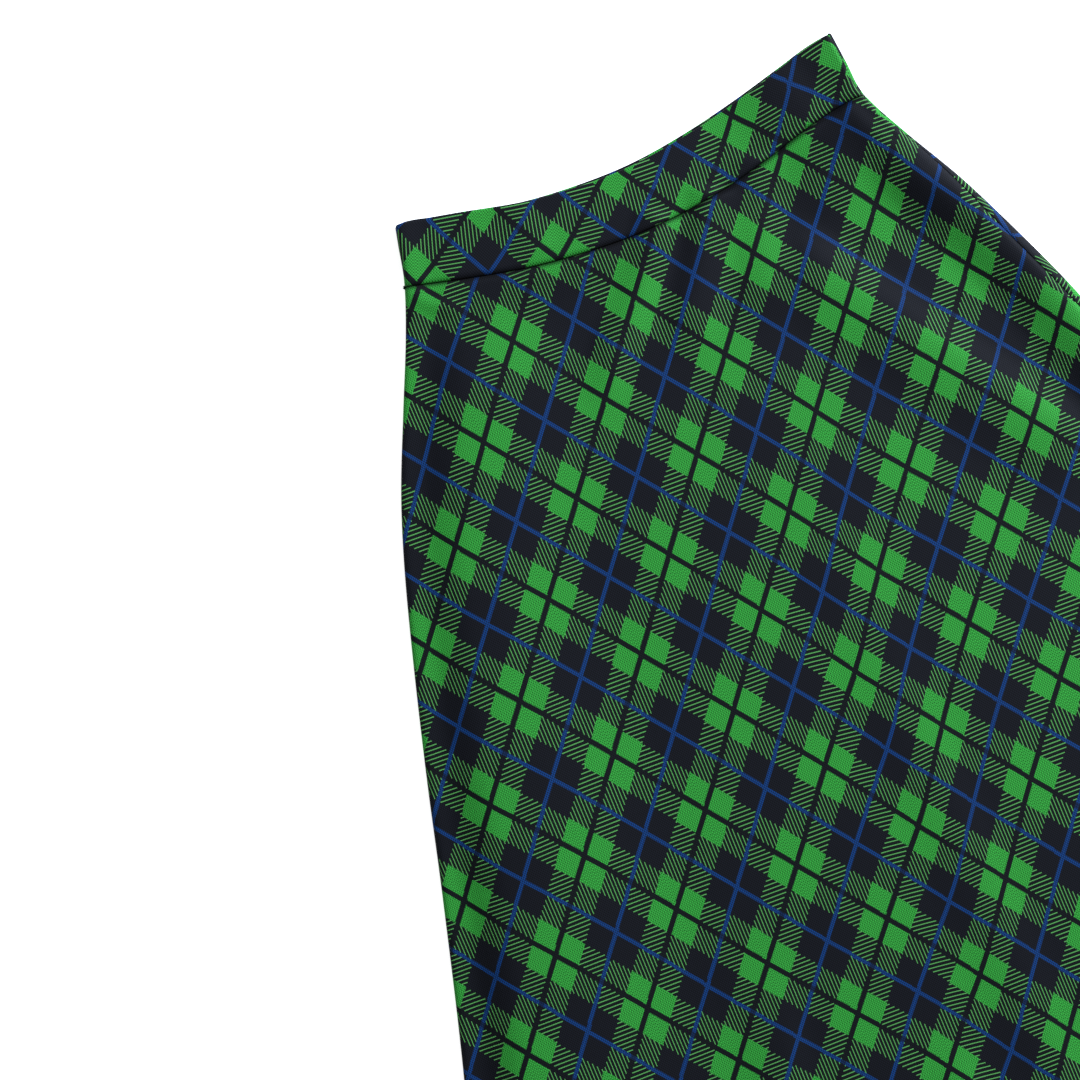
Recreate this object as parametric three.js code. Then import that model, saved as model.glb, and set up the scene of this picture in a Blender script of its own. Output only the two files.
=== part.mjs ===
// A long flared skirt of checked double-knit cloth, laid flat on a surface.
// Millimetres. X runs across the garment, Y up it towards the waist, Z up from the surface.
// The garment is a tube pressed flat: the front lies over the back, and both side edges roll
// round. It lies turned a little on itself, so its right side seam shows on top, just inside
// the right edge, and its left side seam lies underneath.
import * as THREE from 'three';

// Cloth
const CLOTH = 1.4;
const DOUBLED = 2 * CLOTH;
const SEAM_GAP = 0.3;
const LAYER_GAP = 0.3;

// Cut
const PANEL_LENGTH = 900;
const HEM_RISE = 63;
const HEM_TURN = 22;
const HEM_STEP = 3;
const UNDER_LAP = 7;
const BACK_RISE = 2;
const BACK_RISE_PLACE = 0.3;
const BACK_RISE_FADE = 0.7;

// Heights of the laid cloth
const EDGE_SHARE = 0.45;
const SEAM_LIFT = 2.1;
const SEAM_LIFT_FADE = 34;
const HEM_LIFT_FADE = 34;
const GROOVE_DEPTH = 0.9;
const GROOVE_WIDTH = 2;

// How the cloth rolls round each side edge: the crest's height over the cloth beside it at the
// waist and what it gains below, how far inside the edge the crest lies and how much wider that
// gets, how far inside it the swelling ends, and the same for the turn underneath
const ROLLS = {
  left: { room: 1.3, gain: 0, crest: 4, wider: 0, fade: 22, under: 2.8, underWider: 0 },
  right: { room: 1.3, gain: 11.8, crest: 5, wider: 4, fade: 60, under: 4.5, underWider: 1.5 },
};
const ROLL_FULL = 0.08;

// Top edge of the waistband and the waist seam, from the left edge (across -1) to the right one
// (across 1). Both are distances down from the straight line between the seam's two ends.
const WAIST = [
  { across: -1.0, top: -47.0, seam: -1.0 },
  { across: -0.75, top: -37.4, seam: 11.0 },
  { across: -0.5, top: -27.3, seam: 21.3 },
  { across: -0.25, top: -22.7, seam: 27.2 },
  { across: 0.0, top: -22.2, seam: 28.6 },
  { across: 0.25, top: -27.3, seam: 24.4 },
  { across: 0.5, top: -36.1, seam: 15.0 },
  { across: 0.75, top: -47.2, seam: 2.6 },
  { across: 0.9, top: -54.0, seam: -2.8 },
  { across: 1.0, top: -55.5, seam: -4.0 },
];

// Side edges down the garment, as distances from its middle line. lap is how far inside the
// right edge the side seam runs.
const SIDES = [
  { down: -56, left: -175.7, right: 182.6, lap: 2.0 },
  { down: -31, left: -181.5, right: 185.2, lap: 2.0 },
  { down: -4, left: -187.7, right: 188.2, lap: 1.8 },
  { down: 35, left: -202.5, right: 207.8, lap: 1.8 },
  { down: 85, left: -225.0, right: 235.6, lap: 5.0 },
  { down: 143, left: -250.6, right: 261.8, lap: 7.4 },
  { down: 195, left: -269.4, right: 282.3, lap: 7.0 },
  { down: 264, left: -290.5, right: 303.8, lap: 7.0 },
  { down: 352, left: -315.2, right: 328.5, lap: 7.0 },
  { down: 441, left: -338.5, right: 351.8, lap: 7.0 },
  { down: 573, left: -375.3, right: 388.5, lap: 7.0 },
  { down: 866, left: -465.8, right: 479.0, lap: 7.0 },
];

// The cloth by the waist also rises towards the right edge. That is gone at fullShare down.
const RISE = { height: 6, reach: 100, fullShare: 0.15 };

// Long soft folds of the front. Each grows from start to full, as shares of the panel's length,
// and runs on to the hem. early is the share of its height that it has by the waist. from and to
// are the crest's places across the panel at its top and at the hem, shift is how far right of
// them it lies, and height is its own above the cloth round it. It is as wide as startReach on
// both sides where it starts, and narrows to the other two.
const FOLDS = [
  {
    name: 'right', early: 0, start: 0.6, full: 1, from: 0.63, to: 0.57, shift: 0,
    height: 5, startReach: 44, leftReach: 34, rightReach: 28,
  },
  {
    name: 'middle', early: 0, start: 0.12, full: 0.58, from: 0.12, to: 0.08, shift: 0,
    height: 1.5, startReach: 48, leftReach: 40, rightReach: 34,
  },
  {
    name: 'left', early: 0.6, start: 0.2, full: 0.55, from: -1, to: -1, shift: 48,
    height: 8, startReach: 40, leftReach: 40, rightReach: 90,
  },
];
const EARLY_SHARE = 0.1;
const BUNDLE = [1, 0.5, 0, -0.5, -1];
const BUNDLE_HALF_WIDTH = 0.05;

// Stations round a section: distances from a seam or an edge, in millimetres
const SEAM_STEPS = [0, 1.2, 2.8, 5.5, 10, 18, 27, 38, 52];
const LEFT_TOP_STEPS = [9, 5, 2.3, 0.8, 0.2, 0];
const UNDER_SHARES = [0.06, 0.22, 0.5, 1];
const LAP_SHARES = [0.05, 0.25, 0.5, 0.75, 1];
const BETWEEN_FOLDS = [1, 4, 6];
const UNDERSIDE_STATIONS = 13;

// Rows down a panel, in millimetres from the waist seam, and rows down a waistband, as shares
const PANEL_ROWS = [
  0, 8, 18, 36, 70, 115, 165, 220, 280, 340, 405, 470, 535, 600, 665, 730, 795, 845,
  PANEL_LENGTH - HEM_TURN - HEM_STEP, PANEL_LENGTH - HEM_TURN, PANEL_LENGTH,
];
const BAND_ROWS = [0, 0.08, 0.5, 0.92, 1];

const GREEN = 0x33943d;
const NAVY = 0x1e1f26;

function smooth(value) {
  const t = THREE.MathUtils.clamp(value, 0, 1);
  return t * t * (3 - 2 * t);
}

// A value read from a table by a smooth curve through its rows
function lookUp(table, key, column, at) {
  const last = table.length - 1;
  let i = 0;
  while (i < last - 1 && table[i + 1][key] < at) i += 1;
  const slopeAt = (row) => {
    const before = table[Math.max(row - 1, 0)];
    const after = table[Math.min(row + 1, last)];
    return (after[column] - before[column]) / (after[key] - before[key]);
  };
  const span = table[i + 1][key] - table[i][key];
  const t = THREE.MathUtils.clamp((at - table[i][key]) / span, 0, 1);
  const near = (1 + 2 * t) * (1 - t) ** 2 * table[i][column];
  const far = (3 - 2 * t) * t ** 2 * table[i + 1][column];
  const bend = slopeAt(i) * t * (1 - t) ** 2 - slopeAt(i + 1) * (1 - t) * t ** 2;
  return near + far + span * bend;
}

const waistSeam = (across) => lookUp(WAIST, 'across', 'seam', across);
const waistTop = (across) => lookUp(WAIST, 'across', 'top', across);
const hemLine = (across) => waistSeam(0) + PANEL_LENGTH - HEM_RISE * across ** 2;

// One row across the flat garment. down(across) is its distance down, wall the cloth's thickness,
// lie the height of the front's upper face where the layers lie together, and share how far
// down the panel it runs.
function makeRow(down, wall, lie, share) {
  const left = lookUp(SIDES, 'down', 'left', down(-1));
  const right = lookUp(SIDES, 'down', 'right', down(1));
  const lap = lookUp(SIDES, 'down', 'lap', down(1));
  return { down, wall, lie, share, left, right, lap };
}

function panelRow(millimetres) {
  const share = millimetres / PANEL_LENGTH;
  const top = (across) => waistSeam(across) + SEAM_GAP / 2;
  const down = (across) => top(across) + share * (hemLine(across) - top(across));
  const fromTurn = PANEL_LENGTH - HEM_TURN - millimetres;
  const wall = fromTurn <= 0 ? DOUBLED : CLOTH;
  const seamLift = SEAM_LIFT * smooth(1 - millimetres / SEAM_LIFT_FADE);
  const hemLift = (DOUBLED - CLOTH) * 2 * smooth(1 - (fromTurn - HEM_STEP) / HEM_LIFT_FADE);
  return makeRow(down, wall, 2 * CLOTH + LAYER_GAP + seamLift + hemLift, share);
}

// topEdge(across) is the distance down of the waistband's own top edge
function bandRow(share, topEdge) {
  const foot = (across) => waistSeam(across) - SEAM_GAP / 2;
  const down = (across) => topEdge(across) + share * (foot(across) - topEdge(across));
  return makeRow(down, DOUBLED, 2 * DOUBLED + LAYER_GAP, 0);
}

const middleOf = (row) => (row.left + row.right) / 2;
const halfOf = (row) => (row.right - row.left) / 2;

function crestPlace(fold, row) {
  const across = THREE.MathUtils.lerp(fold.from, fold.to, row.share);
  return middleOf(row) + across * halfOf(row) + fold.shift;
}

function foldHeight(fold, row, x) {
  const late = smooth((row.share - fold.start) / (fold.full - fold.start));
  const grown = fold.early * smooth(row.share / EARLY_SHARE) + (1 - fold.early) * late;
  const offset = x - crestPlace(fold, row);
  const side = offset < 0 ? fold.leftReach : fold.rightReach;
  const reach = THREE.MathUtils.lerp(fold.startReach, side, grown);
  const bow = Math.abs(offset) < reach ? Math.cos((Math.PI / 2) * (offset / reach)) ** 2 : 0;
  return fold.height * grown * bow;
}

// How far the cloth by the waist has risen at a place so far inside the right edge's crest
function riseAt(row, inside) {
  const t = THREE.MathUtils.clamp(1 - inside / RISE.reach, 0, 1);
  return RISE.height * t * t * (1 - smooth(row.share / RISE.fullShare));
}

// The roll of the nearer edge in this row: its height over the cloth beside it, its crest's and
// its outermost line's heights, and how far inside the edge it turns over and under
function rollAt(row, x) {
  const onLeft = x < middleOf(row);
  const roll = onLeft ? ROLLS.left : ROLLS.right;
  const grown = smooth(row.share / ROLL_FULL);
  const own = roll.room + roll.gain * grown;
  const height = row.lie + own + (onLeft ? 0 : riseAt(row, 0));
  return {
    own,
    height,
    edge: height * EDGE_SHARE,
    crest: roll.crest + roll.wider * grown,
    under: roll.under + roll.underWider * grown,
    fade: roll.fade,
  };
}

function topHeight(row, x) {
  const inset = Math.max(0, Math.min(x - row.left, row.right - x));
  const roll = rollAt(row, x);
  const groove = GROOVE_DEPTH * Math.exp(-(((row.right - x - row.lap) / GROOVE_WIDTH) ** 2));
  if (inset < roll.crest) {
    const turn = 1 - inset / roll.crest;
    const dip = groove * Math.sqrt(inset / roll.crest);
    return roll.edge + (roll.height - roll.edge) * Math.sqrt(1 - turn * turn) - dip;
  }
  const fade = smooth(1 - (inset - roll.crest) / (roll.fade - roll.crest));
  const folds = FOLDS.reduce((sum, fold) => sum + foldHeight(fold, row, x), 0);
  return row.lie + roll.own * fade + riseAt(row, row.right - x - roll.crest) + folds - groove;
}

function underHeight(row, x) {
  const inset = Math.max(0, Math.min(x - row.left, row.right - x));
  const roll = rollAt(row, x);
  const turn = Math.max(0, 1 - inset / roll.under);
  return roll.edge * (1 - Math.sqrt(1 - turn * turn));
}

function ringPoint(row, x, onTop) {
  const across = (x - middleOf(row)) / halfOf(row);
  const z = onTop ? topHeight(row, x) : underHeight(row, x);
  return new THREE.Vector3(x, -row.down(across), z);
}

const spread = (from, to, count) => Array.from(
  { length: count }, (_, i) => from + ((to - from) * (i + 1)) / (count + 1));

// Front: from the right side seam over the top, round the left edge, to the seam underneath
function frontSection(row) {
  const seam = row.right - row.lap - SEAM_GAP / 2;
  const top = SEAM_STEPS.map((step) => seam - step);
  FOLDS.forEach((fold, k) => {
    const bundle = BUNDLE.map(
      (part) => crestPlace(fold, row) + part * BUNDLE_HALF_WIDTH * halfOf(row));
    top.push(...spread(top[top.length - 1], bundle[0], BETWEEN_FOLDS[k]), ...bundle);
  });
  top.push(...LEFT_TOP_STEPS.map((step) => row.left + step));
  const steps = UNDER_SHARES.map((share) => share * ROLLS.left.under);
  const under = [...steps, UNDER_LAP - SEAM_GAP / 2].map((step) => row.left + step);
  return [
    ...top.map((x) => ringPoint(row, x, true)),
    ...under.map((x) => ringPoint(row, x, false)),
  ];
}

// Back: from the seam underneath along the surface, round the right edge, to the right side seam
function backSection(row) {
  const start = row.left + UNDER_LAP + SEAM_GAP / 2;
  const turned = rollAt(row, row.right).under;
  const rolled = [...UNDER_SHARES].reverse().map((share) => row.right - share * turned);
  const under = [start, ...spread(start, rolled[0], UNDERSIDE_STATIONS), ...rolled, row.right];
  const lap = row.lap - SEAM_GAP / 2;
  return [
    ...under.map((x) => ringPoint(row, x, false)),
    ...LAP_SHARES.map((share) => ringPoint(row, row.right - lap * share, true)),
  ];
}

// A closed wall from its outer face, given as rows of points from the top of the piece down,
// and the cloth's thickness in each row
function wall(sections, thicknesses) {
  const rows = sections.length;
  const stations = sections[0].length;
  const at = (j, i) => sections[THREE.MathUtils.clamp(j, 0, rows - 1)][
    THREE.MathUtils.clamp(i, 0, stations - 1)];
  const outer = [];
  const inner = [];
  for (let j = 0; j < rows; j += 1) {
    for (let i = 0; i < stations; i += 1) {
      const along = at(j, i + 1).clone().sub(at(j, i - 1));
      const downward = at(j + 1, i).clone().sub(at(j - 1, i));
      const normal = along.cross(downward).normalize();
      outer.push(at(j, i).toArray());
      inner.push(at(j, i).clone().addScaledVector(normal, -thicknesses[j]).toArray());
    }
  }
  const index = [];
  const quad = (a, b, c, d) => index.push(a, b, c, a, c, d);
  const outerAt = (j, i) => j * stations + i;
  const innerAt = (j, i) => rows * stations + j * stations + i;
  for (let j = 0; j < rows - 1; j += 1) {
    for (let i = 0; i < stations - 1; i += 1) {
      quad(outerAt(j, i), outerAt(j, i + 1), outerAt(j + 1, i + 1), outerAt(j + 1, i));
      quad(innerAt(j, i), innerAt(j + 1, i), innerAt(j + 1, i + 1), innerAt(j, i + 1));
    }
  }
  for (let i = 0; i < stations - 1; i += 1) {
    quad(outerAt(0, i), innerAt(0, i), innerAt(0, i + 1), outerAt(0, i + 1));
    quad(outerAt(rows - 1, i), outerAt(rows - 1, i + 1),
      innerAt(rows - 1, i + 1), innerAt(rows - 1, i));
  }
  for (let j = 0; j < rows - 1; j += 1) {
    quad(outerAt(j, 0), outerAt(j + 1, 0), innerAt(j + 1, 0), innerAt(j, 0));
    quad(outerAt(j, stations - 1), innerAt(j, stations - 1),
      innerAt(j + 1, stations - 1), outerAt(j + 1, stations - 1));
  }
  const geometry = new THREE.BufferGeometry();
  const positions = [...outer, ...inner].flat();
  geometry.setAttribute('position', new THREE.Float32BufferAttribute(positions, 3));
  geometry.setIndex(index);
  geometry.computeVertexNormals();
  return geometry;
}

function clothPiece(name, rows, section, colour) {
  const material = new THREE.MeshStandardMaterial({ color: colour, roughness: 0.9, metalness: 0 });
  const mesh = new THREE.Mesh(wall(rows.map(section), rows.map((row) => row.wall)), material);
  mesh.name = name;
  return mesh;
}

const panelRows = PANEL_ROWS.map(panelRow);
// The back's top edge shows above the front's, most of all right of the middle
const lowered = (across) => BACK_RISE * smooth(
  (1 - Math.abs(across - BACK_RISE_PLACE)) / BACK_RISE_FADE);
const frontBandRows = BAND_ROWS.map((share) => bandRow(
  share, (across) => waistTop(across) + lowered(across)));
const backBandRows = BAND_ROWS.map((share) => bandRow(share, waistTop));

const skirt = new THREE.Group();
skirt.add(
  clothPiece('front_panel', panelRows, frontSection, GREEN),
  clothPiece('back_panel', panelRows, backSection, NAVY),
  clothPiece('front_waistband', frontBandRows, frontSection, NAVY),
  clothPiece('back_waistband', backBandRows, backSection, GREEN),
);

// The origin is under the middle of the laid garment, on the surface
const bounds = new THREE.Box3().setFromObject(skirt);
const middle = bounds.getCenter(new THREE.Vector3());
skirt.position.set(-middle.x, -middle.y, -bounds.min.z);

export default skirt;
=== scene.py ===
import math

import bpy
import numpy as np
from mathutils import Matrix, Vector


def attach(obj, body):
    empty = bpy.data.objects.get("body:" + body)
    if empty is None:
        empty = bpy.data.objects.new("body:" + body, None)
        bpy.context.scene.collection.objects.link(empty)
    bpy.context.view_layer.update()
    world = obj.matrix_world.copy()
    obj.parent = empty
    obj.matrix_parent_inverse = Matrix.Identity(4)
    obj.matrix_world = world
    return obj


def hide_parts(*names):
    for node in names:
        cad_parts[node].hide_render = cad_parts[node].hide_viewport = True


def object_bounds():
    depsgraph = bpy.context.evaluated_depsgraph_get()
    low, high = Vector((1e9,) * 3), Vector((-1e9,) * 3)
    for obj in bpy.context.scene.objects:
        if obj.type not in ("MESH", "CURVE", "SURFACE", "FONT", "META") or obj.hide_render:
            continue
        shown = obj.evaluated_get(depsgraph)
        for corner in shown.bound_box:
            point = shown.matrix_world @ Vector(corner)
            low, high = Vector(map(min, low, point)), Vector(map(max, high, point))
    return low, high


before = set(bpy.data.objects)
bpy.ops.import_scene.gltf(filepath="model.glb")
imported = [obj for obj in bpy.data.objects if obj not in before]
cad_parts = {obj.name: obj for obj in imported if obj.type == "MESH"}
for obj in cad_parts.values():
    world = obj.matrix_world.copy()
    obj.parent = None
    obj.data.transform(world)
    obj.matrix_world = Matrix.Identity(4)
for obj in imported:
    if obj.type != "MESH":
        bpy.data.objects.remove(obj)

# A long flared skirt of checked double-knit cloth, laid flat. Shapes are worked out in the
# garment's own millimetres: x to its right, down from the waist seam, z up from the surface.

CAD_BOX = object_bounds()

# Cloth
CLOTH = 1.4
DOUBLED = 2 * CLOTH
LAYER_GAP = 0.3

# Cut
PANEL_LENGTH = 900.0
HEM_RISE = 63.0
HEM_TURN = 22.0
HEM_STEP = 3.0
HEM_SHARE = 1 - HEM_TURN / PANEL_LENGTH
UNDER_LAP = 7.0
BAND_HEIGHT = 50.0
# The waistband's top left corner is rounded off
CORNER = 3.0
BACK_RISE = 2.0
BACK_RISE_PLACE = 0.3
BACK_RISE_FADE = 0.7

# Heights of the laid cloth. Each edge rolls over. Its crest lies so far inside the edge, at room
# above the cloth beside it, and it fades out at fade. Below the waist it is gain higher, and
# turns wider over and under.
ROLLS = dict(
    left=dict(room=1.3, gain=0.0, crest=4.0, wider=0.0, fade=22.0, under=2.8, under_wider=0.0),
    right=dict(room=1.3, gain=9.1, crest=5.0, wider=8.0, fade=56.0, under=4.5, under_wider=1.5),
)
ROLL_FULL = 0.12
EDGE_SHARE = 0.45
# The cloth by the waist also rises towards the right edge
RISE = 10.0
RISE_REACH = 110.0
RISE_SHARE = 0.16
RISE_POWER = 1.5
SEAM_LIFT = 2.1
SEAM_LIFT_FADE = 34.0
HEM_LIFT_FADE = 34.0
SIDE_GROOVE = 1.1
SIDE_GROOVE_WIDTH = 1.8
# The waist seam's groove on its two sides, and the width of the painted shade along it. The band
# stands over the panel, so its shade falls there and is painted wider on the panel's side.
PANEL_SEAM = dict(groove=1.7, width=2.6, shade=2.7)
BAND_SEAM = dict(groove=1.6, width=1.8, shade=1.0)
SEWN_THINNER = 1.3
THINNER_WIDTH = 2.6
CREASE_INSET = 20.0

# Top edge of the waistband and the waist seam, from the left edge (across -1) to the right one
WAIST = [
    dict(across=-1.0, top=-47.0, seam=-0.4),
    dict(across=-0.75, top=-37.4, seam=11.6),
    dict(across=-0.5, top=-27.3, seam=21.9),
    dict(across=-0.25, top=-22.7, seam=27.8),
    dict(across=0.0, top=-22.2, seam=29.4),
    dict(across=0.25, top=-27.3, seam=25.6),
    dict(across=0.5, top=-36.1, seam=16.4),
    dict(across=0.75, top=-47.2, seam=4.0),
    dict(across=0.9, top=-54.0, seam=-1.4),
    dict(across=1.0, top=-55.5, seam=-2.6),
]

# Side edges down the garment. lap is how far inside the right edge the side seam runs.
SIDES = [
    dict(down=-56, left=-175.7, right=182.6, lap=2.0),
    dict(down=-31, left=-181.5, right=185.2, lap=2.0),
    dict(down=-4, left=-187.7, right=188.2, lap=1.8),
    dict(down=35, left=-202.5, right=206.8, lap=1.8),
    dict(down=85, left=-225.0, right=233.6, lap=5.0),
    dict(down=143, left=-250.6, right=259.9, lap=7.4),
    dict(down=195, left=-269.4, right=280.9, lap=7.0),
    dict(down=264, left=-290.5, right=303.4, lap=7.0),
    dict(down=352, left=-315.2, right=328.5, lap=7.0),
    dict(down=441, left=-338.5, right=351.8, lap=7.0),
    dict(down=573, left=-375.3, right=388.5, lap=7.0),
    dict(down=866, left=-465.8, right=479.0, lap=7.0),
]

# Long soft folds of the front, close to its solid's. starts and full are shares of the panel's
# length between which a fold grows, and early is the share of its height that it has by the
# waist. top and hem are the crest's places across the panel, and shift is how far right of them.
FOLDS = [
    dict(name="right", early=0.0, starts=0.6, full=1.0, top=0.63, hem=0.57, shift=0.0,
         height=5.0, start_reach=44.0, left_reach=34.0, right_reach=28.0),
    dict(name="middle", early=0.0, starts=0.12, full=0.58, top=0.12, hem=0.08, shift=0.0,
         height=1.5, start_reach=48.0, left_reach=40.0, right_reach=34.0),
    dict(name="left", early=0.6, starts=0.2, full=0.55, top=-1.0, hem=-1.0, shift=48.0,
         height=8.0, start_reach=40.0, left_reach=40.0, right_reach=150.0),
]
EARLY_SHARE = 0.1
MIDDLE_FOLD = FOLDS[1]

# Soft creases of the front, each a low ridge from one place (across, down) to another. It is as
# wide as left and right on its two sides, bows out to its right, and fades at its ends.
CREASES = [
    dict(name="hip, slanting to the edge", at=(108, 104), to=(226, 282), height=4.4,
         left=58, right=30, bow=0, fade_in=50, fade_out=60),
    dict(name="waist, left of the tuck", at=(8, 26), to=(-58, 104), height=3.2, left=24, right=20,
         bow=-3, fade_in=10, fade_out=60),
    dict(name="waist, right of the tuck", at=(50, 22), to=(8, 92), height=3.0, left=20, right=32,
         bow=-3, fade_in=10, fade_out=50),
    dict(name="waist, next to the tuck", at=(94, 14), to=(66, 96), height=2.2, left=30, right=28,
         bow=2, fade_in=10, fade_out=50),
    dict(name="waist, right end", at=(172, 6), to=(200, 66), height=2.6, left=40, right=20,
         bow=0, fade_in=10, fade_out=50),
    dict(name="left corner", at=(-192, 2), to=(-164, 27), height=1.8, left=9, right=8,
         bow=2, fade_in=6, fade_out=14),
    dict(name="waistband and waist, right", at=(128, -44), to=(150, 50), height=2.2,
         left=50, right=28, bow=0, fade_in=8, fade_out=40),
    dict(name="waistband, left", at=(-92, -40), to=(-84, 12), height=0.9, left=24, right=20,
         bow=0, fade_in=8, fade_out=8),
    dict(name="low, left", at=(-146, 660), to=(-204, 900), height=2.4, left=44, right=26,
         bow=6, fade_in=90, fade_out=20),
    dict(name="low, middle", at=(-24, 745), to=(-12, 930), height=1.8, left=30, right=22,
         bow=-4, fade_in=70, fade_out=20),
    dict(name="low, right", at=(292, 470), to=(318, 690), height=1.6, left=34, right=24,
         bow=5, fade_in=80, fade_out=90),
]
# The same for the back, where the front leaves room over it
BACK_CREASES = [
    dict(name="left, high", at=(-226, 230), to=(-284, 470), height=2.4, left=16, right=20,
         bow=3, fade_in=60, fade_out=80),
    dict(name="left, low", at=(-322, 590), to=(-388, 800), height=2.0, left=14, right=18,
         bow=-4, fade_in=50, fade_out=70),
    dict(name="right, high", at=(254, 190), to=(312, 400), height=2.6, left=11, right=9,
         bow=0, fade_in=50, fade_out=60),
    dict(name="right, low", at=(352, 540), to=(420, 770), height=1.9, left=12, right=9,
         bow=2, fade_in=70, fade_out=60),
]

# Stations round a section: distances from a seam or an edge, in millimetres
SEAM_STEPS = [1.2, 2.0, 3.0, 4.2, 5.6, 7.2, 9.0, 11.5, 14.5, 18, 22, 26, 30, 34, 38, 42, 46, 52, 58]
EDGE_STEPS = [60, 54, 49, 45, 41, 38, 35, 32, 29, 26, 23, 20, 17, 14, 11.5, 9.4, 7.6, 6, 4.6, 3.4,
              2.4, 1.6, 0.9, 0.4, 0.1, 0]
UNDER_SHARES = np.array([0.02, 0.07, 0.16, 0.29, 0.46, 0.69, 1.0])
LAP_SHARES = [0.02, 0.08, 0.18, 0.32, 0.48, 0.64]
LEAST_LAP = 0.2
FOLD_RIGHT = 34.0
FOLD_LEFT = 28.0
BEFORE_THE_FOLD = 50
OVER_THE_FOLD = 28
BEYOND_THE_FOLD = 78
UNDERSIDE_STATIONS = 120
BODY_ROWS = 160
BAND_ROWS = 28
NEAR_SEAM_ROWS = [1.2, 2.0, 3.0, 4.2, 5.6, 7.2, 9.0, 11.5, 14.5, 18, 22, 26, 30, 35, 40]
HEM_ROWS = [HEM_TURN, 17, 12, 8, 5, 3]
RIM = 1 - np.cos(np.radians([0.0, 22.5, 45.0, 67.5, 90.0]))
# Within this distance of an edge, spare cloth is laid square to the edge. At least this share of
# each step of the cloth counts that way.
EDGE_PULL = 70.0
LEAST_STRAIGHT = 0.2
BAND_LINE_STATIONS = 401

# The garment is looked straight down on. The picture's middle and width are in the garment's
# millimetres, its turn is in degrees and the camera's height in metres.
VIEW_MIDDLE = (-166.6, 216.2)
VIEW_WIDTH = 821.0
VIEW_TURN = -22.3
CAMERA_HEIGHT = 2.2
SENSOR = 36.0

# Floor and softbox, in metres. The floor lies a little under the cloth, so that they don't meet.
FLOOR_HALF = 9.0
FLOOR_HEIGHT = -0.0002
SOFTBOX_AT = (3.3, 1.4, 2.44)
SOFTBOX_AIM = (-0.05, 0.25, 0.0)

# The check. Its repeat is a diamond, and s and t count the blue lines of its two directions.
# One step of s and one of t, in millimetres across and down the panel's cloth.
STEP_S = (48.47, 65.49)
STEP_T = (-48.58, 62.07)
REPEAT_WIDTH = STEP_S[0] - STEP_T[0]
REPEAT_HEIGHT = STEP_S[1] + STEP_T[1]
FRONT_START = (-128.8, 261.1)
BACK_START = (-172.3, 261.8)
# The same for the waistband: for a millimetre along it, for one up it, and at its middle
BAND_S = (0.008511, -0.00866, 1.1274)
BAND_T = (-0.010402, -0.007419, -1.2035)
# The waistband's cloth bends less than the band. This counts in lengths of 100 mm from its
# middle: the bend up at their second, third and fourth powers, then the shear and stretch.
BAND_BEND = (6.3, -1.3, -1.1)
BAND_SHEAR = 0.9
BAND_STRETCH = 0.6
BACK_BAND_START = 25.0

# Places where handling has drawn the front's cloth across and down by these millimetres, and how
# far that reaches to the left and right, above and below
PULLS = [
    dict(name="waist middle", x=30, down=30, left=130, right=130,
         above=45, below=45, by=(2.1, -2.6)),
    dict(name="right hip", x=185, down=45, left=60, right=60, above=60, below=60, by=(4.2, -3.4)),
    dict(name="right side", x=215, down=200, left=60, right=60, above=90, below=140, by=(3.4, 0.7)),
    dict(name="left of the fold", x=22, down=390, left=30, right=24,
         above=90, below=420, by=(0.2, 4.7)),
    dict(name="right of the fold", x=112, down=480, left=44, right=110,
         above=140, below=500, by=(-4.0, 0.2)),
    dict(name="left side", x=-290, down=350, left=75, right=60,
         above=130, below=130, by=(-4.0, 4.3)),
    dict(name="low middle", x=-50, down=690, left=160, right=110,
         above=90, below=300, by=(1.1, -7.2)),
    dict(name="above the fold", x=90, down=270, left=40, right=40,
         above=110, below=90, by=(-1.9, 1.7)),
    dict(name="left corner", x=-200, down=60, left=60, right=60,
         above=60, below=60, by=(-3.1, -3.6)),
    dict(name="left hip", x=-235, down=215, left=50, right=60, above=80, below=80, by=(-1.7, 1.7)),
    dict(name="on the fold", x=62, down=340, left=30, right=30,
         above=80, below=330, by=(-1.8, 2.5)),
    dict(name="low left", x=-100, down=420, left=120, right=120,
         above=150, below=130, by=(0.8, 1.1)),
    dict(name="left, lower", x=-300, down=560, left=80, right=100,
         above=70, below=200, by=(0.3, -1.2)),
]
BACK_PULLS = [
    dict(name="right end of the waist", x=200, down=5, left=80, right=80,
         above=60, below=45, by=(-12.0, 0.0)),
]

# Parts of the check, as shares of the repeat
GREEN_HALF = 0.243
STRIPE_HALF = 0.026
LINE_HALF = 0.0198

# Stitches of the double knit, in millimetres, and the hatching, in stitches
WALE = 0.656
COURSE = 0.828
HATCH_STITCHES = 4
HATCH_SHARE = 0.24
# The real dots repeat every 2 stitches, drawn every 3 so that they show
DOT_STITCHES = 3.0
DOT_DEPTH = 0.9
# The real bird's-eye of the reverse is one stitch wide, drawn three times as wide so that it shows
BIRDSEYE_SCALE = REPEAT_WIDTH / WALE / 4
SPECK_REACH = 0.45
# The yarn's tone varies a little in patches of some millimetres
YARN_PATCHES = 30.0
YARN_SPREAD = 0.12
YARN_DARKEST = 0.94
# How much of a blue line shows where it crosses a dark stripe
LINE_ON_STRIPE = 0.35
# Painted shade: how far the colour is darkened along the waist seam
PAINTED_SEAM_SHADE = 0.85

GREEN = "#29852d"
HATCH_GREEN = "#509549"
NAVY = "#090b11"
HATCH_NAVY = "#060a0c"
BLUE = "#052d5b"


def smooth(value):
    t = np.clip(value, 0.0, 1.0)
    return t * t * (3 - 2 * t)


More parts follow.
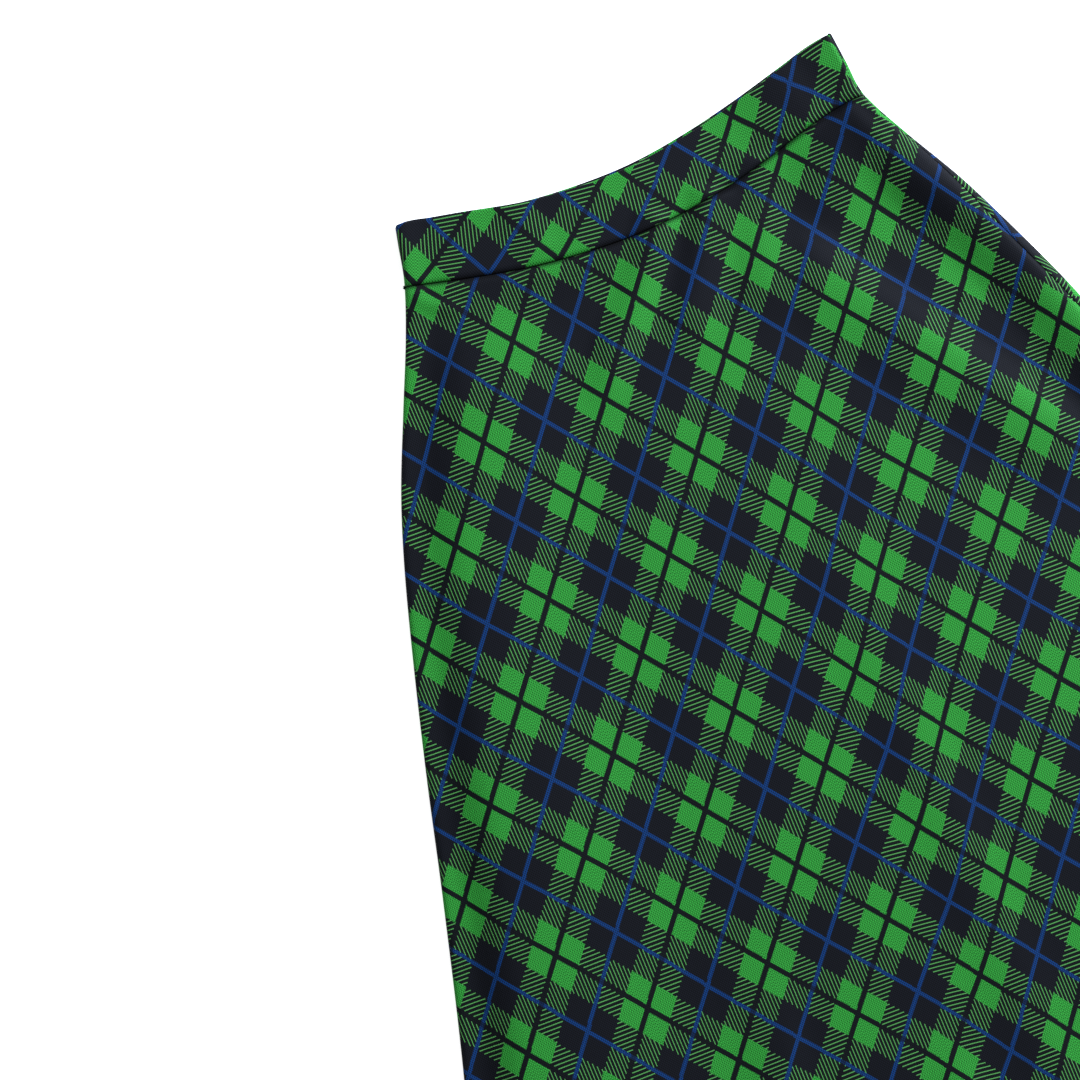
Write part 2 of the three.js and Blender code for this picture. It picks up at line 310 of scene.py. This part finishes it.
def look_up(table, key, column, at):
    """Values read from a table by a smooth curve through its rows"""
    keys = np.array([row[key] for row in table], float)
    values = np.array([row[column] for row in table], float)
    slopes = np.empty_like(values)
    slopes[1:-1] = (values[2:] - values[:-2]) / (keys[2:] - keys[:-2])
    slopes[0] = (values[1] - values[0]) / (keys[1] - keys[0])
    slopes[-1] = (values[-1] - values[-2]) / (keys[-1] - keys[-2])
    i = np.clip(np.searchsorted(keys, at) - 1, 0, len(keys) - 2)
    span = keys[i + 1] - keys[i]
    t = np.clip((at - keys[i]) / span, 0.0, 1.0)
    near = (1 + 2 * t) * (1 - t) ** 2 * values[i]
    far = (3 - 2 * t) * t ** 2 * values[i + 1]
    bend = slopes[i] * t * (1 - t) ** 2 - slopes[i + 1] * (1 - t) * t ** 2
    return near + far + span * bend


def waist_seam(across):
    return look_up(WAIST, "across", "seam", across)


def waist_top(across):
    return look_up(WAIST, "across", "top", across)


def front_top(across):
    lowered = BACK_RISE * smooth((1 - np.abs(across - BACK_RISE_PLACE)) / BACK_RISE_FADE)
    return waist_top(across) + lowered


def hem_line(across):
    return waist_seam(0.0) + PANEL_LENGTH - HEM_RISE * across ** 2


# The frame's origin is under the middle of the garment's box
OFFSET_X = CAD_BOX[1].x * 1000 - look_up(SIDES, "down", "right", hem_line(1.0))
OFFSET_Y = CAD_BOX[1].y * 1000 + waist_top(1.0)


def to_frame(x, down, z):
    """Garment millimetres to metres in the part's frame"""
    return np.stack([(x + OFFSET_X) / 1000, (OFFSET_Y - down) / 1000, z / 1000 + 0 * x], axis=-1)


class Rows:
    """Rows down a piece: each has its edges, its cloth and the height at which the front lies"""

    def __init__(self, down, share, wall, lie, seam, from_seam, from_ends, corner=0.0):
        self.down = down
        self.share = share[:, None]
        self.wall = wall[:, None]
        self.lie = lie[:, None]
        self.seam = seam
        self.from_seam = from_seam[:, None]
        self.from_ends = from_ends[:, None]
        ends = down(np.array([[-1.0, 1.0]]))
        self.left = look_up(SIDES, "down", "left", ends[:, :1]) + np.reshape(corner, (-1, 1))
        self.right = look_up(SIDES, "down", "right", ends[:, 1:])
        self.lap = look_up(SIDES, "down", "lap", ends[:, 1:])
        self.middle = (self.left + self.right) / 2
        self.half = (self.right - self.left) / 2

    def down_at(self, x):
        return self.down((x - self.middle) / self.half)


def panel_rows(mm):
    """Rows of a panel at these distances from its waist seam"""
    share = mm / PANEL_LENGTH
    from_turn = PANEL_LENGTH - HEM_TURN - mm
    wall = CLOTH + (DOUBLED - CLOTH) * smooth(1 - from_turn / HEM_STEP)
    seam_lift = SEAM_LIFT * smooth(1 - mm / SEAM_LIFT_FADE)
    hem_lift = (DOUBLED - CLOTH) * 2 * smooth(1 - (from_turn - HEM_STEP) / HEM_LIFT_FADE)

    def down(across):
        top = waist_seam(across)
        return top + share[:, None] * (hem_line(across) - top)

    lie = 2 * CLOTH + LAYER_GAP + seam_lift + hem_lift
    return Rows(down, share, wall, lie, PANEL_SEAM, mm, np.minimum(mm, PANEL_LENGTH - mm))


def all_panel_rows():
    body = np.linspace(NEAR_SEAM_ROWS[-1], PANEL_LENGTH - HEM_TURN - HEM_STEP, BODY_ROWS)[1:]
    turned = PANEL_LENGTH - np.array(HEM_ROWS, float)
    foot = PANEL_LENGTH - DOUBLED / 2 * RIM[::-1]
    return panel_rows(np.concatenate([CLOTH / 2 * RIM, NEAR_SEAM_ROWS, body, turned, foot]))


def all_band_rows(top_edge):
    rim = DOUBLED / 2 * RIM
    inside = np.linspace(rim[-1], BAND_HEIGHT - rim[-1], BAND_ROWS)[1:-1]
    mm = np.concatenate([rim, inside, BAND_HEIGHT - rim[::-1]])
    share = mm / BAND_HEIGHT

    def down(across):
        foot = waist_seam(across)
        top = top_edge(across)
        return top + share[:, None] * (foot - top)

    from_seam = BAND_HEIGHT - mm
    wall = DOUBLED - SEWN_THINNER * np.exp(-(from_seam / THINNER_WIDTH) ** 2)
    lie = 2 * DOUBLED + LAYER_GAP + 0 * mm
    corner = CORNER * (1 - np.sqrt(1 - np.clip(1 - mm / CORNER, 0, 1) ** 2))
    return Rows(down, 0 * mm, wall, lie, BAND_SEAM, from_seam, np.minimum(mm, from_seam), corner)


def crest_place(fold, rows):
    across = fold["top"] + (fold["hem"] - fold["top"]) * rows.share
    return rows.middle + across * rows.half + fold["shift"]


def fold_height(fold, rows, x):
    early = fold["early"] * smooth(rows.share / EARLY_SHARE)
    grown = early + (1 - fold["early"]) * smooth(
        (rows.share - fold["starts"]) / (fold["full"] - fold["starts"]))
    offset = x - crest_place(fold, rows)
    side = np.where(offset < 0, fold["left_reach"], fold["right_reach"])
    reach = fold["start_reach"] + (side - fold["start_reach"]) * grown
    bow = np.cos(np.pi / 2 * np.clip(offset / reach, -1, 1)) ** 2
    return fold["height"] * grown * bow


def rise_at(rows, inside):
    """How far the cloth by the waist has risen, so far inside the right edge's crest"""
    share = np.clip(1 - inside / RISE_REACH, 0, 1)
    return RISE * share ** RISE_POWER * (1 - smooth(rows.share / RISE_SHARE))


def roll_at(rows, x):
    """The roll of the nearer edge: its own height, its crest's and its outermost line's heights,
    and how far inside the edge it turns over and under"""
    on_left = x < rows.middle
    left, right = ROLLS["left"], ROLLS["right"]
    roll = {key: np.where(on_left, left[key], right[key]) for key in left}
    grown = smooth(rows.share / ROLL_FULL)
    roll["own"] = roll["room"] + roll["gain"] * grown
    roll["height"] = rows.lie + roll["own"] + np.where(on_left, 0.0, rise_at(rows, 0.0))
    roll["edge"] = roll["height"] * EDGE_SHARE
    roll["crest"] = roll["crest"] + roll["wider"] * grown
    roll["under"] = roll["under"] + roll["under_wider"] * grown
    roll["inset"] = np.maximum(0.0, np.minimum(x - rows.left, rows.right - x))
    return roll


def crease_height(creases, x, down):
    """Short soft ridges of the cloth, from one place to another"""
    height = np.zeros_like(x)
    for crease in creases:
        along_x = crease["to"][0] - crease["at"][0]
        along_down = crease["to"][1] - crease["at"][1]
        length = math.hypot(along_x, along_down)
        from_x = x - crease["at"][0]
        from_down = down - crease["at"][1]
        run = (from_x * along_x + from_down * along_down) / length
        side = (from_x * along_down - from_down * along_x) / length
        side = side + crease["bow"] * np.sin(np.pi * np.clip(run / length, 0, 1))
        reach = np.where(side < 0, crease["left"], crease["right"])
        bow = np.cos(np.pi / 2 * np.clip(side / reach, -1, 1)) ** 2
        ends = smooth(run / crease["fade_in"] + 1) * smooth((length - run) / crease["fade_out"] + 1)
        height += crease["height"] * bow * ends
    return height


def top_height(rows, x):
    roll = roll_at(rows, x)
    side_groove = SIDE_GROOVE * np.exp(-((rows.right - x - rows.lap) / SIDE_GROOVE_WIDTH) ** 2)
    waist_groove = rows.seam["groove"] * np.exp(-(rows.from_seam / rows.seam["width"]) ** 2)
    inside = np.clip(roll["inset"] / roll["crest"], 0, 1)
    rolled = roll["edge"] + (roll["height"] - roll["edge"]) * np.sqrt(1 - (1 - inside) ** 2)
    fade = smooth(1 - (roll["inset"] - roll["crest"]) / (roll["fade"] - roll["crest"]))
    rise = rise_at(rows, rows.right - x - roll["crest"])
    folds = sum(fold_height(fold, rows, x) for fold in FOLDS)
    creases = crease_height(CREASES, x, rows.down_at(x)) * smooth(roll["inset"] / CREASE_INSET)
    flat = rows.lie + roll["own"] * fade + rise + folds + creases
    groove = side_groove * np.sqrt(inside) + waist_groove
    return np.where(roll["inset"] < roll["crest"], rolled + creases, flat) - groove


def under_height(rows, x):
    roll = roll_at(rows, x)
    turn = np.clip(1 - roll["inset"] / roll["under"], 0, 1)
    creases = crease_height(BACK_CREASES, x, rows.down_at(x))
    return roll["edge"] * (1 - np.sqrt(1 - turn ** 2)) + creases


def between(start, end, count):
    steps = np.arange(1, count + 1)[None, :] / (count + 1)
    return start + (end - start) * steps


def front_section(rows):
    """Right side seam, over the top, round the left edge, to the seam underneath"""
    rim = rows.wall / 2 * RIM
    seam = rows.right - rows.lap
    near_side = seam - np.concatenate([rim, np.tile(SEAM_STEPS, (len(rim), 1))], axis=1)
    crest = crest_place(MIDDLE_FOLD, rows)
    narrow = rows.half / rows.half.max()
    fold_right = crest + FOLD_RIGHT * narrow
    fold_left = crest - FOLD_LEFT * narrow
    far_side = rows.left + np.array(EDGE_STEPS)
    top = np.concatenate([
        near_side,
        between(near_side[:, -1:], fold_right, BEFORE_THE_FOLD),
        fold_right,
        between(fold_right, fold_left, OVER_THE_FOLD),
        fold_left,
        between(fold_left, far_side[:, :1], BEYOND_THE_FOLD),
        far_side,
    ], axis=1)
    last = rows.left + UNDER_LAP - rim[:, ::-1]
    turned = rows.left + roll_at(rows, rows.left)["under"] * UNDER_SHARES
    under = np.concatenate([turned, last], axis=1)
    x = np.concatenate([top, under], axis=1)
    z = np.concatenate([top_height(rows, top), under_height(rows, under)], axis=1)
    from_ends = np.minimum(seam - x[:, :1] + np.abs(x - x[:, :1]), np.abs(x - x[:, -1:]))
    from_ends[:, top.shape[1] // 2:top.shape[1]] = rows.wall
    return x, z, from_ends


def back_section(rows):
    """The seam underneath, along the surface, round the right edge, to the right side seam"""
    rim = rows.wall / 2 * RIM
    start = rows.left + UNDER_LAP + rim
    end = rows.right - roll_at(rows, rows.right)["under"] * np.append(UNDER_SHARES[::-1], 0.0)
    flat = between(start[:, -1:], end[:, :1], UNDERSIDE_STATIONS)
    under = np.concatenate([start, flat, end], axis=1)
    seam = rows.right - rows.lap
    free = np.maximum(rows.lap - rim[:, -1:], LEAST_LAP)
    top = np.concatenate([rows.right - free * np.array(LAP_SHARES), seam + rim[:, ::-1]], axis=1)
    x = np.concatenate([under, top], axis=1)
    z = np.concatenate([under_height(rows, under), top_height(rows, top)], axis=1)
    from_ends = np.minimum(np.abs(x - x[:, :1]), np.abs(x - seam))
    from_ends[:, under.shape[1] // 2:under.shape[1]] = rows.wall
    return x, z, from_ends


def spare_cloth(rows, x, down, z):
    """How far the cloth runs beyond its place in plan, where it goes over folds and round edges:
    across and down the garment"""
    home = int(np.argmin(np.abs(x[-1])))
    to_right = x[-1, 0] > x[-1, home]
    on_right = (np.arange(x.shape[1]) < home) == to_right
    inset = np.minimum(x - rows.left, rows.right - x)
    edge = np.where(on_right, rows.right, rows.left)
    lean = np.gradient(edge, axis=0) / np.gradient(down, axis=0) * smooth(1 - inset / EDGE_PULL)
    size = np.sqrt(1 + lean ** 2)
    outward = np.where(on_right, 1.0, -1.0)
    away = np.stack([outward / size, -outward * lean / size])
    away = (away[:, :, 1:] + away[:, :, :-1]) / 2
    step = np.stack([np.diff(x, axis=1), np.diff(down, axis=1)])
    run = np.sqrt((step ** 2).sum(axis=0))
    cloth = np.sqrt(run ** 2 + np.diff(z, axis=1) ** 2)
    towards = np.where(np.arange(run.shape[1]) < home, -1.0, 1.0)
    facing = (step * away).sum(axis=0) * towards
    straight = np.abs(facing) / np.maximum(run, 1e-6)
    gain = (cloth * np.maximum(straight, LEAST_STRAIGHT) - facing) * away
    total = np.zeros((2,) + x.shape)
    total[:, :, home + 1:] = np.cumsum(gain[:, :, home:], axis=2)
    total[:, :, :home] = np.cumsum(gain[:, :, :home][:, :, ::-1], axis=2)[:, :, ::-1]
    return total


def pulled(pulls, x, down):
    """How far the cloth is drawn out of its place by handling, across and down"""
    moved = np.zeros((2,) + x.shape)
    for pull in pulls:
        across = x - pull["x"]
        along = down - pull["down"]
        across = across / np.where(across < 0, pull["left"], pull["right"])
        along = along / np.where(along < 0, pull["above"], pull["below"])
        share = np.exp(-across ** 2 - along ** 2)
        moved += np.array(pull["by"]).reshape(2, 1, 1) * share
    return moved


def panel_check(across_cloth, down_cloth, start):
    x = across_cloth - start[0]
    down = down_cloth - start[1]
    turn = STEP_S[0] * STEP_T[1] - STEP_S[1] * STEP_T[0]
    s = (x * STEP_T[1] - down * STEP_T[0]) / turn
    t = (down * STEP_S[0] - x * STEP_S[1]) / turn
    return np.stack([s, t], axis=-1)


def band_check(along, up):
    hundreds = along / 100
    sheared = BAND_SHEAR * hundreds * (2 * up / BAND_HEIGHT - 1)
    along = along + BAND_STRETCH * hundreds ** 2 + sheared
    up = up + sum(bend * hundreds ** power for power, bend in enumerate(BAND_BEND, start=2))
    s = BAND_S[0] * along + BAND_S[1] * up + BAND_S[2]
    t = BAND_T[0] * along + BAND_T[1] * up + BAND_T[2]
    return np.stack([s, t], axis=-1)


def along_band(rows, x):
    """Length along the waistband's middle line, from the garment's middle"""
    across = np.linspace(-1.0, 1.0, BAND_LINE_STATIONS)
    row = len(rows.middle) // 2
    line_x = rows.middle[row] + across * rows.half[row]
    line_down = rows.down(across[None, :])[row]
    run = np.concatenate([[0.0], np.cumsum(np.hypot(np.diff(line_x), np.diff(line_down)))])
    run -= np.interp(0.0, across, run)
    return np.interp((x - rows.middle) / rows.half, across, run)


def quads(values, order):
    """The four corners of each cell of a grid of values, in this order"""
    rows, stations = values.shape[:2]
    return np.stack([values[j:rows - 1 + j, i:stations - 1 + i] for j, i in order], axis=2)


def cloth_piece(name, rows, section, counts, materials):
    """A closed wall with rounded rims. counts gives the check's counts on both its faces."""
    x, z, from_side = section(rows)
    down = rows.down_at(x)
    outer = to_frame(x, down, z)
    normal = np.cross(np.gradient(outer, axis=1), np.gradient(outer, axis=0))
    normal /= np.linalg.norm(normal, axis=2, keepdims=True)
    half_wall = rows.wall / 2
    rims = [np.clip(away / half_wall, 0, 1) for away in (from_side, rows.from_ends + 0 * x)]
    full = np.prod([np.sqrt(1 - (1 - rim) ** 2) for rim in rims], axis=0)
    core = outer - normal * half_wall[..., None] / 1000
    swell = normal * (half_wall * full)[..., None] / 1000
    inside = np.zeros(x.shape, bool)
    inside[1:-1, 1:-1] = True
    outer_index = np.arange(x.size).reshape(x.shape)
    inner_index = outer_index.copy()
    inner_index[inside] = x.size + np.arange(inside.sum())
    points = np.concatenate([(core + swell).reshape(-1, 3), (core - swell)[inside]])
    corners = [(0, 0), (0, 1), (1, 1), (1, 0)]

    faces = np.concatenate([
        quads(outer_index, corners).reshape(-1, 4),
        quads(inner_index, corners[::-1]).reshape(-1, 4),
    ])
    outer_count, inner_count = counts(rows, x, down, z)
    weave = np.concatenate([
        quads(outer_count, corners).reshape(-1, 2),
        quads(inner_count, corners[::-1]).reshape(-1, 2),
    ])
    mesh = bpy.data.meshes.new(name)
    mesh.from_pydata(points.tolist(), [], faces.tolist())
    layer = mesh.uv_layers.new(name="Weave")
    layer.data.foreach_set("uv", weave.astype(np.float32).ravel())
    mesh.polygons.foreach_set("use_smooth", np.ones(len(faces), bool))
    # The inner face shows the reverse, except where the hem is turned up
    inner_side = np.full((x.shape[0] - 1, x.shape[1] - 1), len(materials) - 1, np.int32)
    inner_side[rows.share[1:, 0] > HEM_SHARE] = 0
    sides = np.concatenate([np.zeros(inner_side.size, np.int32), inner_side.ravel()])
    mesh.polygons.foreach_set("material_index", sides)
    # Painted shade along the waist seam, kept as a point attribute that darkens the colour
    painted_shade = np.exp(-(rows.from_seam / rows.seam["shade"]) ** 2) + 0 * x
    shade = mesh.attributes.new("PaintedSeamShade", "FLOAT", "POINT")
    values = np.concatenate([painted_shade.ravel(), painted_shade[inside]])
    shade.data.foreach_set("value", values.astype(np.float32))
    for material in materials:
        mesh.materials.append(material)
    piece = bpy.data.objects.new(name, mesh)
    bpy.context.scene.collection.objects.link(piece)
    return piece


def front_counts(rows, x, down, z):
    spare = spare_cloth(rows, x, down, z)
    pull = pulled(PULLS, x, down)
    outer = panel_check(x + spare[0] - pull[0], down + spare[1] - pull[1], FRONT_START)
    return outer, outer


def back_counts(rows, x, down, z):
    spare = spare_cloth(rows, x, down, z)
    pull = pulled(BACK_PULLS, x, down)
    outer = panel_check(pull[0] - x - spare[0], down + spare[1] - pull[1], BACK_START)
    return outer, outer


def front_band_counts(rows, x, down, z):
    along = along_band(rows, x) + spare_cloth(rows, x, down, z)[0]
    up = rows.from_seam + 0 * x
    return band_check(along, up), band_check(along, 2 * BAND_HEIGHT - up)


def back_band_counts(rows, x, down, z):
    along = BACK_BAND_START - along_band(rows, x) - spare_cloth(rows, x, down, z)[0]
    up = rows.from_seam + 0 * x
    return band_check(along, up), band_check(along, 2 * BAND_HEIGHT - up)


def linear(colour):
    """An sRGB hex colour as linear RGBA"""
    parts = [int(colour[i:i + 2], 16) / 255 for i in (1, 3, 5)]
    return [c / 12.92 if c <= 0.04045 else ((c + 0.055) / 1.055) ** 2.4 for c in parts] + [1.0]


def add(tree, kind, feeds=(), **settings):
    """Adds a node with its settings. Its feeds are values, or nodes and sockets to link."""
    node = tree.nodes.new(kind)
    for name, value in settings.items():
        setattr(node, name, value)
    for place, value in feeds.items() if isinstance(feeds, dict) else enumerate(feeds):
        if isinstance(value, bpy.types.Node):
            value = value.outputs[0]
        if isinstance(value, bpy.types.NodeSocket):
            tree.links.new(value, node.inputs[place])
        else:
            node.inputs[place].default_value = value
    return node


def new_material(name):
    material = bpy.data.materials.new(name)
    material.use_nodes = True
    material.node_tree.nodes.clear()
    return material, material.node_tree


MATH = "ShaderNodeMath"
MIX = "ShaderNodeMix"
VECTOR_MATH = "ShaderNodeVectorMath"


def mixed(tree, share, low, high):
    """The colour low where share is 0 and high where it is 1"""
    return add(tree, MIX, {0: share, 6: low, 7: high}, data_type="RGBA").outputs[2]


def check_double_knit():
    """Viscose double-knit jacquard, three yarns: matte, with the jagged edges and the fine dots of
    its stitches, and hatching where a green and a dark stripe cross"""
    material, tree = new_material("double_knit_jacquard")
    weave = add(tree, "ShaderNodeUVMap", uv_map="Weave")
    counts = add(tree, "ShaderNodeSeparateXYZ", [weave])
    s, t = counts.outputs[0], counts.outputs[1]
    apart = add(tree, MATH, [s, t], operation="SUBTRACT")
    wale = add(tree, MATH, [apart, REPEAT_WIDTH / WALE / 2], operation="MULTIPLY")
    summed = add(tree, MATH, [s, t], operation="ADD")
    course = add(tree, MATH, [summed, REPEAT_HEIGHT / COURSE / 2], operation="MULTIPLY")
    stitch = []
    for place, size in ((wale, WALE / REPEAT_WIDTH), (course, COURSE / REPEAT_HEIGHT)):
        whole = add(tree, MATH, [add(tree, MATH, [place], operation="FLOOR"), 0.5], operation="ADD")
        stitch.append(add(tree, MATH, [whole, size], operation="MULTIPLY"))
    across, down = stitch
    s = add(tree, MATH, [down, across], operation="ADD")
    t = add(tree, MATH, [down, across], operation="SUBTRACT")
    from_stripe = []
    for count in (s, t):
        share = add(tree, MATH, [count], operation="FRACT")
        centred = add(tree, MATH, [share, 0.5], operation="SUBTRACT")
        from_stripe.append(add(tree, MATH, [centred], operation="ABSOLUTE"))
    nearer = add(tree, MATH, from_stripe, operation="MINIMUM")
    farther = add(tree, MATH, from_stripe, operation="MAXIMUM")
    both_green = add(tree, MATH, [farther, GREEN_HALF], operation="LESS_THAN")
    any_green = add(tree, MATH, [nearer, GREEN_HALF], operation="LESS_THAN")
    off_stripe = add(tree, MATH, [nearer, STRIPE_HALF], operation="GREATER_THAN")
    on_line = add(tree, MATH, [farther, 0.5 - LINE_HALF], operation="GREATER_THAN")

    halves = []
    for count in (s, t):
        twice = add(tree, MATH, [count, 2.0], operation="MULTIPLY")
        halves.append(add(tree, MATH, [twice], operation="FLOOR"))
    together = add(tree, MATH, halves, operation="ADD")
    odd = add(tree, MATH, [together, 2.0], operation="FLOORED_MODULO")
    hatch = []
    for place in (wale, course):
        pitch = add(tree, MATH, [place, HATCH_STITCHES], operation="DIVIDE")
        share = add(tree, MATH, [pitch], operation="FRACT")
        hatch.append(add(tree, MATH, [share, HATCH_SHARE], operation="LESS_THAN"))
    line_on = add(tree, MIX, {0: odd, 2: hatch[0], 3: hatch[1]})
    hatched = add(tree, MATH, [line_on, any_green], operation="MULTIPLY")

    ground = mixed(tree, any_green, linear(NAVY), linear(HATCH_NAVY))
    lined = mixed(tree, hatched, ground, linear(HATCH_GREEN))
    squares = mixed(tree, both_green, lined, linear(GREEN))
    striped = mixed(tree, off_stripe, linear(HATCH_NAVY), squares)
    broken = add(tree, MATH, [off_stripe, 1 - LINE_ON_STRIPE, LINE_ON_STRIPE], operation="MULTIPLY_ADD")
    line = add(tree, MATH, [on_line, broken], operation="MULTIPLY")
    colour = mixed(tree, line, striped, linear(BLUE))

    waves = []
    for place in (wale, course):
        turned = add(tree, MATH, [place, math.pi * 2 / DOT_STITCHES], operation="MULTIPLY")
        waves.append(add(tree, MATH, [turned], operation="SINE"))
    dots = add(tree, MATH, waves, operation="MULTIPLY")
    yarn = add(tree, "ShaderNodeTexNoise", {"Vector": weave, "Scale": YARN_PATCHES, "Detail": 2.0})
    uneven = add(tree, MATH, [yarn, YARN_SPREAD, YARN_DARKEST], operation="MULTIPLY_ADD")
    plain = add(tree, MATH, [1.0, hatched], operation="SUBTRACT")
    shown = add(tree, MATH, [dots, plain], operation="MULTIPLY")
    dotted = add(tree, MATH, [shown, DOT_DEPTH, uneven], operation="MULTIPLY_ADD")
    # Painted shade along the waist seam: its groove is too narrow for its shadow to show in full, so
    # the colour is darkened there
    painted_shade = add(tree, "ShaderNodeAttribute", attribute_name="PaintedSeamShade").outputs["Fac"]
    open_share = add(tree, MATH, [painted_shade, -PAINTED_SEAM_SHADE, 1.0], operation="MULTIPLY_ADD")
    tone = add(tree, MATH, [dotted, open_share], operation="MULTIPLY")
    finished = add(tree, VECTOR_MATH, {0: colour, 3: tone}, operation="SCALE")
    bump = add(tree, "ShaderNodeBump", {"Strength": 0.25, "Distance": 0.0002, "Height": dots})
    surface = add(tree, "ShaderNodeBsdfPrincipled", {
        "Base Color": finished, "Normal": bump, "Roughness": 0.7, "Specular IOR Level": 0.14,
    })
    add(tree, "ShaderNodeOutputMaterial", [surface])
    return material


def knit_reverse():
    """The back of the double knit: the floats of its three yarns make a fine bird's-eye"""
    material, tree = new_material("double_knit_reverse")
    counts = add(tree, "ShaderNodeUVMap", uv_map="Weave")
    cells = add(tree, "ShaderNodeTexVoronoi", {"Vector": counts, "Scale": BIRDSEYE_SCALE})
    specks = add(tree, MATH, [cells, SPECK_REACH], operation="LESS_THAN")
    colour = mixed(tree, specks, linear(NAVY), linear(GREEN))
    surface = add(tree, "ShaderNodeBsdfPrincipled", {"Base Color": colour, "Roughness": 0.88})
    add(tree, "ShaderNodeOutputMaterial", [surface])
    return material


def studio_floor():
    """White acrylic table lit a little from below, which leaves hardly any shadow"""
    material, tree = new_material("backlit_acrylic")
    surface = add(tree, "ShaderNodeBsdfPrincipled", {
        "Base Color": linear("#f4f4f4"), "Roughness": 0.95, "Specular IOR Level": 0.1,
        "Emission Color": linear("#ffffff"), "Emission Strength": 0.82,
    })
    add(tree, "ShaderNodeOutputMaterial", [surface])
    mesh = bpy.data.meshes.new("floor")
    corners = [(-1, -1), (1, -1), (1, 1), (-1, 1)]
    points = [(x * FLOOR_HALF, y * FLOOR_HALF, FLOOR_HEIGHT) for x, y in corners]
    mesh.from_pydata(points, [], [(0, 1, 2, 3)])
    mesh.materials.append(material)
    floor = bpy.data.objects.new("floor", mesh)
    bpy.context.scene.collection.objects.link(floor)
    return floor


def place_camera():
    data = bpy.data.cameras.new("camera")
    data.sensor_width = SENSOR
    data.lens = SENSOR * CAMERA_HEIGHT / (VIEW_WIDTH / 1000)
    camera = bpy.data.objects.new("camera", data)
    middle_x, middle_down = VIEW_MIDDLE
    spot = to_frame(np.array(middle_x), np.array(middle_down), np.array(CAMERA_HEIGHT * 1000))
    camera.location = spot.tolist()
    camera.rotation_euler = (0.0, 0.0, math.radians(VIEW_TURN))
    bpy.context.scene.collection.objects.link(camera)
    bpy.context.scene.camera = camera


def place_light():
    """A broad soft light beyond the top right of the photograph, and a pale room"""
    data = bpy.data.lights.new("softbox", "AREA")
    data.shape = "SQUARE"
    data.size = 2.4
    data.energy = 432.0
    data.color = linear("#e1ebff")[:3]
    softbox = bpy.data.objects.new("softbox", data)
    softbox.location = SOFTBOX_AT
    aim = np.array(SOFTBOX_AIM) - np.array(SOFTBOX_AT)
    tilt = math.atan2(math.hypot(aim[0], aim[1]), -aim[2])
    softbox.rotation_euler = (tilt, 0.0, math.atan2(-aim[0], aim[1]))
    bpy.context.scene.collection.objects.link(softbox)
    world = bpy.data.worlds.new("room")
    world.use_nodes = True
    background = world.node_tree.nodes["Background"]
    background.inputs["Color"].default_value = linear("#fbfcff")
    background.inputs["Strength"].default_value = 0.26
    bpy.context.scene.world = world
    bpy.context.scene.view_settings.view_transform = "Standard"
    bpy.context.scene.view_settings.look = "None"


place_camera()
place_light()
floor = studio_floor()

face = check_double_knit()
reverse = knit_reverse()
whole_panel_rows = all_panel_rows()
front_band_rows = all_band_rows(front_top)
back_band_rows = all_band_rows(waist_top)

front_panel = cloth_piece(
    "front_panel_cloth", whole_panel_rows, front_section, front_counts, [face, reverse])
back_panel = cloth_piece(
    "back_panel_cloth", whole_panel_rows, back_section, back_counts, [face, reverse])
front_band = cloth_piece(
    "front_waistband_cloth", front_band_rows, front_section, front_band_counts, [face])
back_band = cloth_piece(
    "back_waistband_cloth", back_band_rows, back_section, back_band_counts, [face])

for piece, node in ((front_panel, "front_panel"), (back_panel, "back_panel"),
                    (front_band, "front_waistband"), (back_band, "back_waistband")):
    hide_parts(node)
    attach(piece, "root")
